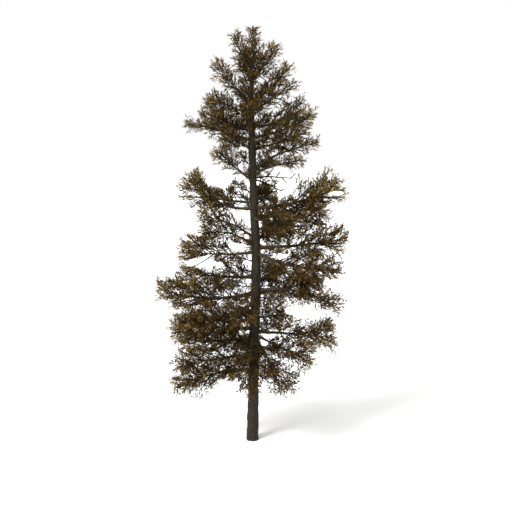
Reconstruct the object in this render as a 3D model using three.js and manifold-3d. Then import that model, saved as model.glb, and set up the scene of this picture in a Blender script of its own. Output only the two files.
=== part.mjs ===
// A tamarack in autumn: one tall trunk, boughs with bare feet, and masses of needle sprays on twigs.
// Units are millimetres, +Z is up, the trunk's flat cut lies on z = 0 round the origin.
// A bearing of 0 points along +X, 90 along +Y, and the tree is seen from -Y.
import * as THREE from "three";
import Module from "manifold-3d";

const wasm = await Module();
wasm.setup();
const { Manifold, Mesh } = wasm;

// Trunk.
const TREE_HEIGHT = 16000;
const TRUNK_TOP = 15150;
const TRUNK_RADIUS = 212;
const TRUNK_TAPER = 0.45;
const TIP_RADIUS = 22;
const TIP_TAPER = 0.031;
const FLARE = 30;
const FLARE_HEIGHT = 350;
const FLUTES = 5;
const FLUTE_DEPTH = 0.06;
const TRUNK_SIDES = 14;
const FOOT_RINGS = [0, 160, 400, 900, 1600, 2600, 3600, 4900];
const UPPER_RINGS = [6200, 7700, 8600, 9400, 10800, 12200, 13200, 14000, 14600, TRUNK_TOP];

// The trunk sways a little: height and sideways offset of each turn.
const SWAY = [
  [0, 5],
  [1600, 15],
  [3600, 35],
  [6200, 130],
  [7700, 140],
  [9400, 50],
  [12200, -20],
  [14000, -30],
  [TRUNK_TOP, 25],
];

// Limbs: foot height on the trunk, bearing, reach to the last needle, climb in degrees at the foot and at
// the tip, share of the reach that is bare, spread of the needles to each side, and where they are fullest.
const LIMBS = {
  left_1: { height: 2900, bearing: 188, reach: 3200, climb: [0, -20], bare: 0.12, spread: 920, full: 0.5 },
  left_2: { height: 3500, bearing: 200, reach: 3150, climb: [0, -4], bare: 0.1, spread: 900, full: 0.5 },
  left_3: { height: 4100, bearing: 150, reach: 3400, climb: [-10, -6], bare: 0.1, spread: 950, full: 0.5 },
  left_4: { height: 4550, bearing: 178, reach: 3200, climb: [4, -6], bare: 0.1, spread: 980, full: 0.5 },
  left_5: { height: 5300, bearing: 206, reach: 3200, climb: [-8, 2], bare: 0.1, spread: 920, full: 0.5 },
  left_6: { height: 6000, bearing: 184, reach: 3920, climb: [-16, 24], bare: 0.18, spread: 1080, full: 0.5 },
  left_7: { height: 6620, bearing: 152, reach: 3400, climb: [-6, 2], bare: 0.1, spread: 980, full: 0.5 },
  left_8: { height: 7600, bearing: 188, reach: 2780, climb: [-8, 12], bare: 0.2, spread: 1040, full: 0.45 },
  left_9: { height: 7720, bearing: 174, reach: 2200, climb: [46, -14], bare: 0.36, spread: 800, full: 0.4 },
  left_10: { height: 8050, bearing: 200, reach: 2400, climb: [44, 4], bare: 0.4, spread: 620, full: 0.45 },
  left_11: { height: 9290, bearing: 180, reach: 2840, climb: [-7, 58], bare: 0.26, spread: 980, full: 0.5 },
  left_12: { height: 10330, bearing: 192, reach: 1750, climb: [30, 52], bare: 0.3, spread: 620, full: 0.5 },
  left_13: { height: 11600, bearing: 224, reach: 1550, climb: [14, 10], bare: 0.1, spread: 560, full: 0.4 },
  left_14: { height: 11850, bearing: 176, reach: 2600, climb: [20, 8], bare: 0.14, spread: 500, full: 0.35 },
  left_15: { height: 12400, bearing: 155, reach: 2300, climb: [-6, 62], bare: 0.1, spread: 680, full: 0.45 },
  left_16: { height: 12750, bearing: 205, reach: 1750, climb: [24, 18], bare: 0.1, spread: 600, full: 0.4 },
  left_17: { height: 13250, bearing: 192, reach: 2000, climb: [38, 58], bare: 0.1, spread: 540, full: 0.4 },
  left_18: { height: 14150, bearing: 162, reach: 1720, climb: [60, 78], bare: 0.1, spread: 500, full: 0.4 },
  right_1: { height: 4100, bearing: 302, reach: 2780, climb: [-22, -38], bare: 0.1, spread: 950, full: 0.45 },
  right_2: { height: 4300, bearing: 332, reach: 2550, climb: [-14, -22], bare: 0.22, spread: 820, full: 0.45 },
  right_3: { height: 4420, bearing: 4, reach: 3100, climb: [-3, -7], bare: 0.26, spread: 1020, full: 0.55 },
  right_4: { height: 5000, bearing: 58, reach: 2900, climb: [-10, -6], bare: 0.1, spread: 800, full: 0.45 },
  right_5: { height: 5950, bearing: 36, reach: 3400, climb: [0, 6], bare: 0.1, spread: 950, full: 0.5 },
  right_6: { height: 6050, bearing: 352, reach: 3350, climb: [12, -32], bare: 0.24, spread: 900, full: 0.45 },
  right_7: { height: 7580, bearing: 330, reach: 3500, climb: [-22, 8], bare: 0.18, spread: 1040, full: 0.45 },
  right_8: { height: 7760, bearing: 8, reach: 3680, climb: [0, 10], bare: 0.26, spread: 1020, full: 0.55 },
  right_9: { height: 9000, bearing: 26, reach: 3300, climb: [-6, 4], bare: 0.1, spread: 980, full: 0.5 },
  right_10: { height: 9290, bearing: 356, reach: 3440, climb: [3, 25], bare: 0.12, spread: 1100, full: 0.5 },
  right_11: { height: 10560, bearing: 350, reach: 2000, climb: [28, 4], bare: 0.3, spread: 420, full: 0.5 },
  right_12: { height: 10750, bearing: 4, reach: 2750, climb: [36, 8], bare: 0.36, spread: 420, full: 0.3 },
  right_13: { height: 11500, bearing: 32, reach: 2550, climb: [12, 18], bare: 0.1, spread: 680, full: 0.4 },
  right_14: { height: 11950, bearing: 336, reach: 2620, climb: [8, 28], bare: 0.1, spread: 720, full: 0.45 },
  right_15: { height: 12400, bearing: 20, reach: 2400, climb: [-4, 56], bare: 0.1, spread: 640, full: 0.45 },
  right_16: { height: 12950, bearing: 326, reach: 2000, climb: [22, 34], bare: 0.1, spread: 600, full: 0.4 },
  right_17: { height: 13200, bearing: 350, reach: 1950, climb: [38, 48], bare: 0.1, spread: 580, full: 0.4 },
  right_18: { height: 14050, bearing: 18, reach: 1620, climb: [44, 66], bare: 0.1, spread: 540, full: 0.4 },
  back_1: { height: 3600, bearing: 92, reach: 3100, climb: [-6, -10], bare: 0.1, spread: 900, full: 0.45 },
  back_2: { height: 6350, bearing: 70, reach: 3200, climb: [0, 8], bare: 0.1, spread: 900, full: 0.45 },
  back_3: { height: 8150, bearing: 62, reach: 3100, climb: [-4, 4], bare: 0.1, spread: 900, full: 0.45 },
  back_4: { height: 9500, bearing: 138, reach: 2700, climb: [0, 8], bare: 0.1, spread: 850, full: 0.4 },
  back_5: { height: 9600, bearing: 76, reach: 2600, climb: [-2, 6], bare: 0.1, spread: 780, full: 0.4 },
  back_6: { height: 10750, bearing: 66, reach: 2100, climb: [-2, 6], bare: 0.1, spread: 700, full: 0.4 },
  back_7: { height: 12200, bearing: 165, reach: 2150, climb: [14, 20], bare: 0.1, spread: 500, full: 0.4 },
  back_8: { height: 12600, bearing: 92, reach: 2050, climb: [32, 48], bare: 0.1, spread: 660, full: 0.4 },
  back_9: { height: 13850, bearing: 95, reach: 1600, climb: [46, 62], bare: 0.1, spread: 560, full: 0.4 },
  front_1: { height: 4100, bearing: 262, reach: 2500, climb: [-16, -36], bare: 0.1, spread: 950, full: 0.5 },
  front_2: { height: 5900, bearing: 256, reach: 2600, climb: [-10, -12], bare: 0.12, spread: 900, full: 0.45 },
  front_3: { height: 8900, bearing: 300, reach: 2600, climb: [-4, 4], bare: 0.14, spread: 760, full: 0.5 },
  front_4: { height: 12000, bearing: 266, reach: 1900, climb: [24, 40], bare: 0.1, spread: 620, full: 0.4 },
  front_5: { height: 14200, bearing: 278, reach: 1400, climb: [42, 74], bare: 0.1, spread: 500, full: 0.4 },
  top: { height: TRUNK_TOP, bearing: 0, reach: 850, climb: [90, 88], bare: 0, spread: 360, full: 0.3 },
};

// These limbs show a long bare foot, which is a bough of its own.
const LEFT_BOUGHS = ["left_6", "left_8", "left_11"];
const RIGHT_BOUGHS = ["right_3", "right_6", "right_7", "right_8", "right_10"];

// Limb sections.
const CURVE_STEPS = 24;
const FOOT_RADIUS = 30;
const FOOT_POWER = 0.8;
const METRE = 1000;
const STEM_TIP_RADIUS = 7;
const LIMB_TAPER = 1.15;
const COLLAR = 0.3;
const COLLAR_LENGTH = 90;
const BOUGH_SIDES = 6;
const BOUGH_RINGS = 5;
const STEM_SIDES = 3;
const STEM_RINGS = 5;
const CLEARANCE = 0.32;

// Twigs and sprays.
const GOLDEN_TURN = 2.39996;
const TWIG_SPACING_SHARE = 0.47;
const TWIGS_MOST = 9;
const TWIG_PLACES = [0.05, 0.97];
const TWIG_STAGGER = [0.25, 0.75];
const TWIG_LEANS = [46, 64];
const TWIG_ROLLS = [-0.4, 0.4];
const TWIG_REACHES = [1.05, 1.25];
const TWIG_RADIUS = 11;
const TWIG_SLIMMER = 0.6;
const STALK_FLATNESS = 0.5;
const FOOT_FULLNESS = 0.62;
const TIP_FULLNESS = 0.3;
const FULLNESS_TAPER = 0.9;
const TRIES = 9;
const TRY_TURN = 0.75;
const TRY_SHRINK = 0.95;
const TIP_SPRAY_SHARE = 0.72;
const TIP_SPRAYS = [400, 720];
const TIP_SPRAY_ROLLS = [0.3, 1.2];
const SPRAY_ROLLS = [0.4, 2.7];
const SPRAY_MOST = 900;
const STALK_LEAST = 0.15;
const SPRAY_PEAK = 0.28;
const SPRAY_HALF_THICKNESS = 0.022;
const SPRAY_ROOM = 6;
// Half the outline of a spray, as shares of its length: along the spray, and out to its side.
const FIVE_TEETH = [
  [0, 0.05],
  [0.42, 0.52],
  [0.52, 0.27],
  [0.86, 0.32],
  [0.64, 0.09],
];
const THREE_TEETH = [
  [0, 0.05],
  [0.52, 0.7],
  [0.67, 0.26],
];
const FIRST_SEED = 1000;
const SEED_STEP = 37;
const DICE_FACTOR = 1664525;
const DICE_ADD = 1013904223;
const DICE_RANGE = 4294967296;
const DICE_WARM_UP = 3;

const BARK = { color: 0x403a32, roughness: 0.95, metalness: 0 };
const LIMB_BARK = { color: 0x3c372d, roughness: 0.95, metalness: 0 };
const NEEDLES = { color: 0x6b5128, roughness: 0.85, metalness: 0 };

const UP = new THREE.Vector3(0, 0, 1);
const NEAR_UPRIGHT = 1e-3;

// A repeatable run of numbers between low and high.
function makeDice(seed) {
  let state = seed >>> 0;
  const throwDice = (low = 0, high = 1) => {
    state = (Math.imul(state, DICE_FACTOR) + DICE_ADD) >>> 0;
    return low + ((high - low) * state) / DICE_RANGE;
  };
  for (let i = 0; i < DICE_WARM_UP; i++) throwDice();
  return throwDice;
}

function smoothStep(share) {
  return share * share * (3 - 2 * share);
}

function trunkCentre(height) {
  const turn = SWAY.findIndex(([top]) => top >= height);
  if (turn < 1) return new THREE.Vector3(turn === 0 ? SWAY[0][1] : SWAY.at(-1)[1], 0, height);
  const [low, from] = SWAY[turn - 1];
  const [high, to] = SWAY[turn];
  const offset = from + (to - from) * smoothStep((height - low) / (high - low));
  return new THREE.Vector3(offset, 0, height);
}

function trunkRadius(height) {
  const taper = TRUNK_RADIUS * (1 - height / TREE_HEIGHT) ** TRUNK_TAPER;
  const tip = TIP_RADIUS + TIP_TAPER * (TRUNK_TOP - height);
  return Math.min(taper, tip) + FLARE * Math.exp(-height / FLARE_HEIGHT);
}

function heading(climb, bearing) {
  const level = Math.cos(climb);
  return new THREE.Vector3(level * Math.cos(bearing), level * Math.sin(bearing), Math.sin(climb));
}

function limbHeading(limb, share) {
  const climb = limb.climb[0] + (limb.climb[1] - limb.climb[0]) * share;
  return heading(THREE.MathUtils.degToRad(climb), THREE.MathUtils.degToRad(limb.bearing));
}

// The limb's centre line, stepped out from the trunk's centre.
function limbCurve(limb) {
  const points = [trunkCentre(limb.height)];
  for (let i = 0; i < CURVE_STEPS; i++) {
    const step = limbHeading(limb, (i + 0.5) / CURVE_STEPS).multiplyScalar(limb.reach / CURVE_STEPS);
    points.push(points[i].clone().add(step));
  }
  return points;
}

function pointAlong(points, share) {
  const place = Math.min(Math.max(share, 0), 1) * (points.length - 1);
  const i = Math.min(Math.floor(place), points.length - 2);
  return points[i].clone().lerp(points[i + 1], place - i);
}

// Two directions square to a heading: one level, one as near upright as it can be.
function sideFrame(direction) {
  const side = UP.clone().cross(direction);
  if (side.length() < NEAR_UPRIGHT) side.set(1, 0, 0);
  side.normalize();
  return { side, rise: direction.clone().cross(side) };
}

// A heading turned away from another by lean, towards the side that roll names.
function leanFrom(direction, lean, roll) {
  const { side, rise } = sideFrame(direction);
  return direction
    .clone()
    .multiplyScalar(Math.cos(lean))
    .addScaledVector(side, Math.sin(lean) * Math.cos(roll))
    .addScaledVector(rise, Math.sin(lean) * Math.sin(roll));
}

// A limb swells into a collar where it leaves the trunk, and the top's stem carries the trunk's own tip on.
function limbRadius(limb, share) {
  const plain = FOOT_RADIUS * (limb.reach / METRE) ** FOOT_POWER;
  const outside = Math.max(0, share * limb.reach - trunkRadius(limb.height));
  const collar = 1 + COLLAR * Math.exp(-outside / COLLAR_LENGTH);
  const foot = limb.name === "top" ? TIP_RADIUS : plain * collar;
  return STEM_TIP_RADIUS + (foot - STEM_TIP_RADIUS) * (1 - share) ** LIMB_TAPER;
}

// Length of a twig as a share of its mass's spread, fullest part-way along the stem.
function fullness(share, full) {
  if (share < full) return FOOT_FULLNESS + ((1 - FOOT_FULLNESS) * share) / full;
  return TIP_FULLNESS + (1 - TIP_FULLNESS) * (1 - (share - full) / (1 - full)) ** FULLNESS_TAPER;
}

function ringRound(centre, direction, radius, sides) {
  const { side, rise } = sideFrame(direction);
  return Array.from({ length: sides }, (_, i) => {
    const angle = (2 * Math.PI * i) / sides;
    return centre
      .clone()
      .addScaledVector(side, radius * Math.cos(angle))
      .addScaledVector(rise, radius * Math.sin(angle));
  });
}

function geometryOf(points, triangles) {
  const geometry = new THREE.BufferGeometry().setFromPoints(points);
  return geometry.setIndex(triangles);
}

// A closed tube through rings of points, each ring with the same count, ended by flat caps.
function tubeThrough(rings) {
  const sides = rings[0].length;
  const points = rings.flat();
  const triangles = [];
  for (let ring = 0; ring < rings.length - 1; ring++) {
    for (let i = 0; i < sides; i++) {
      const a = ring * sides + i;
      const b = ring * sides + ((i + 1) % sides);
      triangles.push(a, b, b + sides, a, b + sides, a + sides);
    }
  }
  const last = (rings.length - 1) * sides;
  for (let i = 1; i < sides - 1; i++) {
    triangles.push(0, i + 1, i);
    triangles.push(last, last + i, last + i + 1);
  }
  return geometryOf(points, triangles);
}

function solidOf(geometry) {
  return new Manifold(
    new Mesh({
      numProp: 3,
      vertProperties: Float32Array.from(geometry.getAttribute("position").array),
      triVerts: Uint32Array.from(geometry.index.array),
    }),
  );
}

// The trunk, grown outwards by an even skin where a limb's foot is cut to it.
function trunkSolid(skin) {
  const rings = [...FOOT_RINGS, ...UPPER_RINGS].map((height) => {
    const centre = trunkCentre(height);
    const flute = FLUTE_DEPTH * Math.exp(-height / FLARE_HEIGHT);
    return Array.from({ length: TRUNK_SIDES }, (_, i) => {
      const angle = (2 * Math.PI * i) / TRUNK_SIDES;
      const radius = trunkRadius(height) * (1 + flute * Math.cos(FLUTES * angle)) + skin;
      return new THREE.Vector3(centre.x + radius * Math.cos(angle), radius * Math.sin(angle), height);
    });
  });
  return solidOf(tubeThrough(rings));
}

// A length of limb between two shares of its reach, its first face set forward by a gap.
function limbSolid(limb, from, to, gap, sides, ringCount) {
  const rings = Array.from({ length: ringCount }, (_, i) => {
    const share = from + ((to - from) * i) / (ringCount - 1);
    const direction = limbHeading(limb, share);
    const centre = pointAlong(limb.curve, share).addScaledVector(direction, i === 0 ? gap : 0);
    return ringRound(centre, direction, limbRadius(limb, share), sides);
  });
  return solidOf(tubeThrough(rings));
}

// A twig and its spray in one closed piece: a three-sided stalk from the foot, running into a toothed
// blade that is thickest near its root and sharp at its teeth.
function spraySolid({ foot, direction, roll, stalk, radius, length, halfOutline }) {
  const { side, rise } = sideFrame(direction);
  const across = side.clone().multiplyScalar(Math.cos(roll)).addScaledVector(rise, Math.sin(roll));
  const through = direction.clone().cross(across);
  const place = (along, out, off) =>
    foot.clone().addScaledVector(direction, along).addScaledVector(across, out).addScaledVector(through, off);
  const onBlade = (along, out, off) => place(stalk + along * length, out * length, off * length);
  const right = halfOutline.map(([along, out]) => onBlade(along, out, 0));
  const left = halfOutline.map(([along, out]) => onBlade(along, -out, 0)).reverse();
  const outline = [...right, onBlade(1, 0, 0), ...left];
  const count = outline.length;
  const points = [
    ...outline,
    onBlade(SPRAY_PEAK, 0, SPRAY_HALF_THICKNESS),
    onBlade(SPRAY_PEAK, 0, -SPRAY_HALF_THICKNESS),
    place(0, radius, STALK_FLATNESS * radius),
    place(0, -radius, STALK_FLATNESS * radius),
    place(0, 0, -radius),
  ];
  const [rootRight, rootLeft, above, below] = [0, count - 1, count, count + 1];
  const [footRight, footLeft, footBelow] = [count + 2, count + 3, count + 4];
  const triangles = [footRight, footBelow, footLeft];
  triangles.push(footRight, footLeft, rootLeft, footRight, rootLeft, rootRight);
  triangles.push(footLeft, footBelow, below, footLeft, below, rootLeft);
  triangles.push(footBelow, footRight, rootRight, footBelow, rootRight, below);
  triangles.push(above, rootRight, rootLeft);
  for (let i = 0; i < count - 1; i++) triangles.push(above, i + 1, i, below, i, i + 1);
  return solidOf(geometryOf(points, triangles));
}

// Pieces that are placed so far, each with its box.
const placed = [];

function keep(solid) {
  placed.push({ solid, box: solid.boundingBox() });
  return solid;
}

function boxesNear(a, b) {
  const reaches = (low, high) => [0, 1, 2].every((axis) => low.min[axis] - SPRAY_ROOM < high.max[axis]);
  return reaches(a, b) && reaches(b, a);
}

// True where a spray keeps clear of every limb and every other spray, all but the stem that it grows from.
function isClear(spray, ownStem) {
  const box = spray.boundingBox();
  return placed.every(
    (other) =>
      other.solid === ownStem ||
      !boxesNear(box, other.box) ||
      other.solid.minGap(spray, SPRAY_ROOM) >= SPRAY_ROOM,
  );
}

function largestBody(solid) {
  return solid.decompose().reduce((best, body) => (body.volume() > best.volume() ? body : best));
}

const trunk = keep(trunkSolid(0));
const trunkWithSkin = trunkSolid(CLEARANCE);
const solids = new Map([["trunk", { solid: trunk, look: BARK }]]);
const masses = [];

// Boughs and stems come first, so that every limb has its place before any twig.
Object.entries(LIMBS).forEach(([name, sizes], i) => {
  const limb = { ...sizes, name };
  limb.curve = limbCurve(limb);
  const tipLength = THREE.MathUtils.clamp(limb.spread * TIP_SPRAY_SHARE, ...TIP_SPRAYS);
  const stemEnd = 1 - tipLength / limb.reach;
  const node = "needles_" + name;
  const hasBough = [...LEFT_BOUGHS, ...RIGHT_BOUGHS].includes(name);
  if (hasBough) {
    const bough = limbSolid(limb, 0, limb.bare, 0, BOUGH_SIDES, BOUGH_RINGS).subtract(trunkWithSkin);
    solids.set("bough_" + name, { solid: keep(bough), look: LIMB_BARK });
  }
  const stemStart = hasBough ? limb.bare : 0;
  const standsOff = hasBough || name === "top" ? CLEARANCE : 0;
  const stem = limbSolid(limb, stemStart, stemEnd, standsOff, STEM_SIDES, STEM_RINGS);
  const cutStem = standsOff ? stem : largestBody(stem.subtract(trunkWithSkin));
  masses.push({
    node,
    limb,
    tipLength,
    dice: makeDice(FIRST_SEED + SEED_STEP * i),
    stemEnd,
    pieces: [keep(cutStem)],
  });
});

// Places a spray where there is room for it.
function addSpray(mass, sizes) {
  const spray = spraySolid(sizes);
  if (!isClear(spray, mass.pieces[0])) return false;
  mass.pieces.push(keep(spray));
  return true;
}

// The spray at the end of each stem gives the limb its full reach.
for (const mass of masses) {
  const { limb, dice, tipLength, stemEnd } = mass;
  const stalk = STALK_LEAST * tipLength;
  const foot = pointAlong(limb.curve, stemEnd - stalk / limb.reach);
  const direction = pointAlong(limb.curve, stemEnd).sub(foot).normalize();
  addSpray(mass, {
    foot,
    direction,
    roll: dice(...TIP_SPRAY_ROLLS),
    stalk,
    radius: STEM_TIP_RADIUS,
    length: tipLength,
    halfOutline: FIVE_TEETH,
  });
}

// Side twigs, turned round the stem by the golden angle, each ending in a spray.
for (let k = 0; k < TWIGS_MOST; k++) {
  for (const mass of masses) {
    const { limb, dice, stemEnd } = mass;
    const leafy = limb.reach * (1 - limb.bare);
    const count = Math.min(Math.round(leafy / (TWIG_SPACING_SHARE * limb.spread)), TWIGS_MOST);
    if (k >= count) continue;
    const share = THREE.MathUtils.lerp(...TWIG_PLACES, (k + dice(...TWIG_STAGGER)) / count);
    const along = THREE.MathUtils.lerp(limb.bare, stemEnd, share);
    const fullReach = limb.spread * fullness(share, limb.full) * dice(...TWIG_REACHES);
    const lean = THREE.MathUtils.degToRad(dice(...TWIG_LEANS));
    const roll = GOLDEN_TURN * k + dice(...TWIG_ROLLS);
    const bladeRoll = dice(...SPRAY_ROLLS);
    for (let attempt = 0; attempt < TRIES; attempt++) {
      const reach = fullReach * TRY_SHRINK ** attempt;
      const length = Math.min(SPRAY_MOST, (1 - STALK_LEAST) * reach);
      const fits = addSpray(mass, {
        foot: pointAlong(limb.curve, along),
        direction: leanFrom(limbHeading(limb, along), lean, roll + TRY_TURN * attempt),
        roll: bladeRoll + TRY_TURN * attempt,
        stalk: reach - length,
        radius: Math.min(TWIG_RADIUS, TWIG_SLIMMER * limbRadius(limb, along)),
        length,
        halfOutline: THREE_TEETH,
      });
      if (fits) break;
    }
  }
}

for (const mass of masses) {
  const joined = Manifold.union(mass.pieces);
  solids.set(mass.node, { solid: largestBody(joined), look: NEEDLES });
}

function meshOf(name, { solid, look }) {
  const { vertProperties, triVerts } = solid.getMesh();
  const geometry = new THREE.BufferGeometry();
  geometry.setAttribute("position", new THREE.BufferAttribute(vertProperties, 3));
  geometry.setIndex(new THREE.BufferAttribute(triVerts, 1));
  geometry.computeVertexNormals();
  const mesh = new THREE.Mesh(geometry, new THREE.MeshStandardMaterial(look));
  mesh.name = name;
  return mesh;
}

const tree = new THREE.Group();
tree.name = "tamarack";
for (const [name, entry] of solids) tree.add(meshOf(name, entry));

export default tree;
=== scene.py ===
# %% [markdown]
# # A tamarack in autumn
# A tamarack is a slender larch: one straight trunk, short boughs at all heights, and soft needles that turn
# brown-gold before they fall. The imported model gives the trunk, the boughs and a plain solid for each mass
# of needles. This lesson grows the finished tree on that frame: bark with relief, boughs, twigs, and sprays
# of separate needles. Everything is in metres, +Z is up, and the trunk's cut lies on z = 0.

# %% Load the frame
import math

import bpy
import numpy as np
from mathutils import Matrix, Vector, noise


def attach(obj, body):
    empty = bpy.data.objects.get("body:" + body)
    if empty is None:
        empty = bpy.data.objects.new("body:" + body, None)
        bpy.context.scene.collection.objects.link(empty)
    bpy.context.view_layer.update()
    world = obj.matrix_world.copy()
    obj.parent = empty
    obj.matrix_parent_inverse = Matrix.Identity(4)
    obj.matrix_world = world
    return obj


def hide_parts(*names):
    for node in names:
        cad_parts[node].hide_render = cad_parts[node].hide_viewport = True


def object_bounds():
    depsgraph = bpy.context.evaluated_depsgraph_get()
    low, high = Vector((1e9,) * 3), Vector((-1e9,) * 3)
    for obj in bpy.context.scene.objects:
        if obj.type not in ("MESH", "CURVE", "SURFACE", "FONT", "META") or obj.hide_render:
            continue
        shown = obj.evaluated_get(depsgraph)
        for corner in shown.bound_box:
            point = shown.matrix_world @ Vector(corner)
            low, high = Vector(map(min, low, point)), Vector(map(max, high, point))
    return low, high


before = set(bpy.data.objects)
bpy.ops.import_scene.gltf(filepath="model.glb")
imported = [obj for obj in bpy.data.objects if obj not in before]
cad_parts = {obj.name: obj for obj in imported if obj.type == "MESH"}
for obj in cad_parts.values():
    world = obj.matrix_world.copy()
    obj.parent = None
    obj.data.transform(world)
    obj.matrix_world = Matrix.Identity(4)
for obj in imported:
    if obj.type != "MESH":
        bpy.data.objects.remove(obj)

CAD_LOW, CAD_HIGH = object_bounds()
NODES = sorted(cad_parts)
print("frame:", len(NODES), "nodes")
print("packed box from", [round(x, 2) for x in CAD_LOW], "to", [round(x, 2) for x in CAD_HIGH])

# %% [markdown]
# ## Camera
# The picture looks slightly down on the tree from some way off. A longer lens from further back would
# flatten the crown, and a shorter one would make the foot shrink away, so the lens is an ordinary 50 mm and
# the camera stands about as high as two thirds of the tree.

# %% Camera
CAMERA_PLACE = (0.14, -27.31, 11.27)
CAMERA_LENS = 50
CAMERA_SENSOR = 36
CAMERA_LOOKS_DOWN = 8
FAR_CLIP = 1000


def add_to_scene(name, data):
    made = bpy.data.objects.new(name, data)
    bpy.context.scene.collection.objects.link(made)
    return made


camera = add_to_scene("photo_camera", bpy.data.cameras.new("photo_camera"))
camera.data.lens = CAMERA_LENS
camera.data.sensor_width = CAMERA_SENSOR
camera.data.clip_end = FAR_CLIP
camera.location = CAMERA_PLACE
camera.rotation_euler = (math.radians(90 - CAMERA_LOOKS_DOWN), 0, 0)
bpy.context.scene.camera = camera
print("camera at", CAMERA_PLACE, "looking down", CAMERA_LOOKS_DOWN, "degrees")

# %% [markdown]
# ## Light
# The tree stands in a bright, even studio: a white surround lights it from all sides, so the inside of the
# crown darkens by itself where needles hide one another. One broad sun from the upper left in front warms
# the tips. The standard view transform keeps the surround a clean white.

# %% Light
SURROUND_STRENGTH = 1.0
SUN_STRENGTH = 4.0
SUN_TURN = (math.radians(48), 0, math.radians(-52))
SUN_SOFTNESS = math.radians(25)

bpy.context.scene.view_settings.view_transform = "Standard"
world = bpy.data.worlds.new("studio")
world.use_nodes = True
world.node_tree.nodes["Background"].inputs["Color"].default_value = (1, 1, 1, 1)
world.node_tree.nodes["Background"].inputs["Strength"].default_value = SURROUND_STRENGTH
bpy.context.scene.world = world
sun = add_to_scene("studio_sun", bpy.data.lights.new("studio_sun", "SUN"))
sun.data.energy = SUN_STRENGTH
sun.data.angle = SUN_SOFTNESS
sun.rotation_euler = SUN_TURN
print("surround", SURROUND_STRENGTH, "and sun", SUN_STRENGTH)

# %% [markdown]
# ## Meshes from arrays
# A tree has far too many needles to add one by one. Each kind of thing is worked out as one long array of
# points and one of triangles, and Blender takes both in a single step. All pieces below go through this one
# helper, which also hands over the materials and says which of them each triangle wears.

# %% Mesh helper
def mesh_object(name, points, triangles, materials, wears=None, smooth=False):
    points = np.ascontiguousarray(points, np.float32)
    triangles = np.ascontiguousarray(triangles, np.int32)
    mesh = bpy.data.meshes.new(name)
    mesh.vertices.add(len(points))
    mesh.vertices.foreach_set("co", points.ravel())
    mesh.loops.add(triangles.size)
    mesh.loops.foreach_set("vertex_index", triangles.ravel())
    mesh.polygons.add(len(triangles))
    mesh.polygons.foreach_set("loop_start", np.arange(0, triangles.size, 3, dtype=np.int32))
    for material in materials:
        mesh.materials.append(material)
    if wears is not None:
        mesh.polygons.foreach_set("material_index", np.ascontiguousarray(wears, np.int32))
    mesh.polygons.foreach_set("use_smooth", np.full(len(triangles), smooth))
    mesh.update(calc_edges=True)
    print(name, "has", len(triangles), "triangles")
    return add_to_scene(name, mesh)


# %% [markdown]
# ## Floor
# A plain pale floor, wide enough that its edge never shows. It is part of the stage, not of the tree.

# %% Floor
FLOOR_HALF = 400
FLOOR_COLOUR = (0.92, 0.92, 0.91, 1)
FLOOR_ROUGHNESS = 0.9


def shader_of(material):
    material.use_nodes = True
    return material.node_tree.nodes["Principled BSDF"]


floor_look = bpy.data.materials.new("pale_floor")
shader_of(floor_look).inputs["Base Color"].default_value = FLOOR_COLOUR
shader_of(floor_look).inputs["Roughness"].default_value = FLOOR_ROUGHNESS
corners = FLOOR_HALF * np.array([[-1, -1, 0], [1, -1, 0], [1, 1, 0], [-1, 1, 0]], float)
floor = mesh_object("floor", corners, [[0, 1, 2], [0, 2, 3]], [floor_look])

# %% [markdown]
# ## Helpers for materials made of nodes
# A bark takes a dozen nodes, and most are of three kinds: a texture, a ramp that stretches the useful part
# of a texture to run from 0 to 1, and a blend of two colours. One small helper adds each kind, so that the
# bark itself reads as a list of its layers.

# %% Node helpers
def add_texture(tree, kind, scale, source, **values):
    node = tree.nodes.new(kind)
    node.inputs["Scale"].default_value = scale
    for socket, value in values.items():
        node.inputs[socket].default_value = value
    tree.links.new(source, node.inputs["Vector"])
    return node


def add_ramp(tree, source, ends):
    node = tree.nodes.new("ShaderNodeMapRange")
    node.inputs["From Min"].default_value = ends[0]
    node.inputs["From Max"].default_value = ends[1]
    tree.links.new(source, node.inputs["Value"])
    return node.outputs["Result"]


def colour_socket(sockets, name):
    return next(socket for socket in sockets if socket.name == name and socket.type == "RGBA")


def add_blend(tree, share, first, second):
    node = tree.nodes.new("ShaderNodeMix")
    node.data_type = "RGBA"
    tree.links.new(share, node.inputs["Factor"])
    for name, value in (("A", first), ("B", second)):
        socket = colour_socket(node.inputs, name)
        if isinstance(value, tuple):
            socket.default_value = value
        else:
            tree.links.new(value, socket)
    return colour_socket(node.outputs, "Result")


# %% [markdown]
# ## Bark
# Tamarack bark is thin and scaly: small grey-brown plates, longer than wide, with dark cracks between them,
# some olive where it stays damp and some reddish where a scale has dropped. Paint alone would look flat, so
# the mesh carries the larger plates and this material adds the smaller ones: stretched cells give plates
# and cracks, slow noise the patches, and a bump the grain.

# %% Bark material
PLATE_STRETCH = (1, 1, 0.4)
GRAIN_PER_CELL = 6
SPOTS_PER_CELL = 0.5
PATCH_SCALE = 2.3
PATCH_EDGES = (0.5, 0.72)
FALLEN_EDGES = (0.58, 0.74)
GRAIN_EDGES = (0.62, 0.3)
CRACK_EDGES = (0.0, 0.16)
CRACK_SLOPE = (0.0, 0.3)
ROUGHNESS_EDGES = (-1.5, 1.2)
BUMP_STRENGTH = 0.7
BUMP_DISTANCE = 0.012
BARK_SHEEN = 0.2


def add_bark_bump(tree, plates, grain):
    height = tree.nodes.new("ShaderNodeMath")
    height.operation = "ADD"
    tree.links.new(add_ramp(tree, plates, CRACK_SLOPE), height.inputs[0])
    tree.links.new(grain, height.inputs[1])
    bump = tree.nodes.new("ShaderNodeBump")
    bump.inputs["Strength"].default_value = BUMP_STRENGTH
    bump.inputs["Distance"].default_value = BUMP_DISTANCE
    tree.links.new(height.outputs["Value"], bump.inputs["Height"])
    return bump.outputs["Normal"]


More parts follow.
